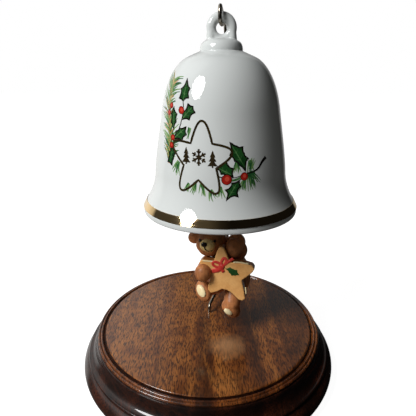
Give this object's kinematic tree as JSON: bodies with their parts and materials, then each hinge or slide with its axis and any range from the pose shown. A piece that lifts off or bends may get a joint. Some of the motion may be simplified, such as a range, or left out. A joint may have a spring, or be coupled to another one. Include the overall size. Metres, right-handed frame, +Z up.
{
  "type": "hanging porcelain bell on a display stand",
  "caption": "Small flared porcelain bell with a gilt rim, a bear-and-star clapper on a wire link, hung from a bent wire hook on a round turned wooden base.",
  "frame": {"origin": "centre of the stand's underside, on the surface it stands on", "axes": "+Z up, +X to the right of the decorated front, which faces -Y"},
  "size_m": [0.0888, 0.0888, 0.1182],
  "materials": {
    "walnut": "dark stained and glossy varnished, streaked grain",
    "felt": "short dense felt",
    "hanger_wire": "tarnished nickel plate with bright spots",
    "thin_wire": "bright drawn wire",
    "porcelain": "clear glossy glaze",
    "gilding": "fired-on gold lustre, mirror bright",
    "biscuit_paint": "satin painted",
    "bear_paint": "satin painted",
    "cream_paint": "satin painted",
    "black_paint": "glossy painted",
    "red_paint": "satin painted",
    "green_paint": "satin painted",
    "fired_print": "fired-on transfer under a thin gloss"
  },
  "bodies": {
    "stand": {"base_turning": "walnut", "felt_pad": "felt", "wire_hanger": "hanger_wire"},
    "bell": {"bell_shell": "porcelain", "gilt_band": "gilding", "crown_staple": "thin_wire"},
    "link": {"clapper_link": "thin_wire"},
    "figure": {"figure_staple": "thin_wire", "star_biscuit": "biscuit_paint", "bear_torso": "bear_paint", "bear_head": "bear_paint", "bear_arm_left": "bear_paint", "bear_arm_right": "bear_paint", "bear_leg_left": "bear_paint", "bear_leg_right": "bear_paint"}
  },
  "joints": [
    {"name": "bell_swing", "type": "hinge", "parent": "stand", "child": "bell", "pos_m": [0.0039, 0, 0.11294], "axis": [0, 1, 0], "range_deg": [-40, 40]},
    {"name": "clapper_swing", "type": "hinge", "parent": "bell", "child": "link", "pos_m": [0.0039, 0, 0.0985], "axis": [0, 1, 0], "range_deg": [-26, 24]},
    {"name": "figure_tip", "type": "hinge", "parent": "link", "child": "figure", "pos_m": [0.0039, 0, 0.0557], "axis": [1, 0, 0], "range_deg": [-22, 30]}
  ]
}
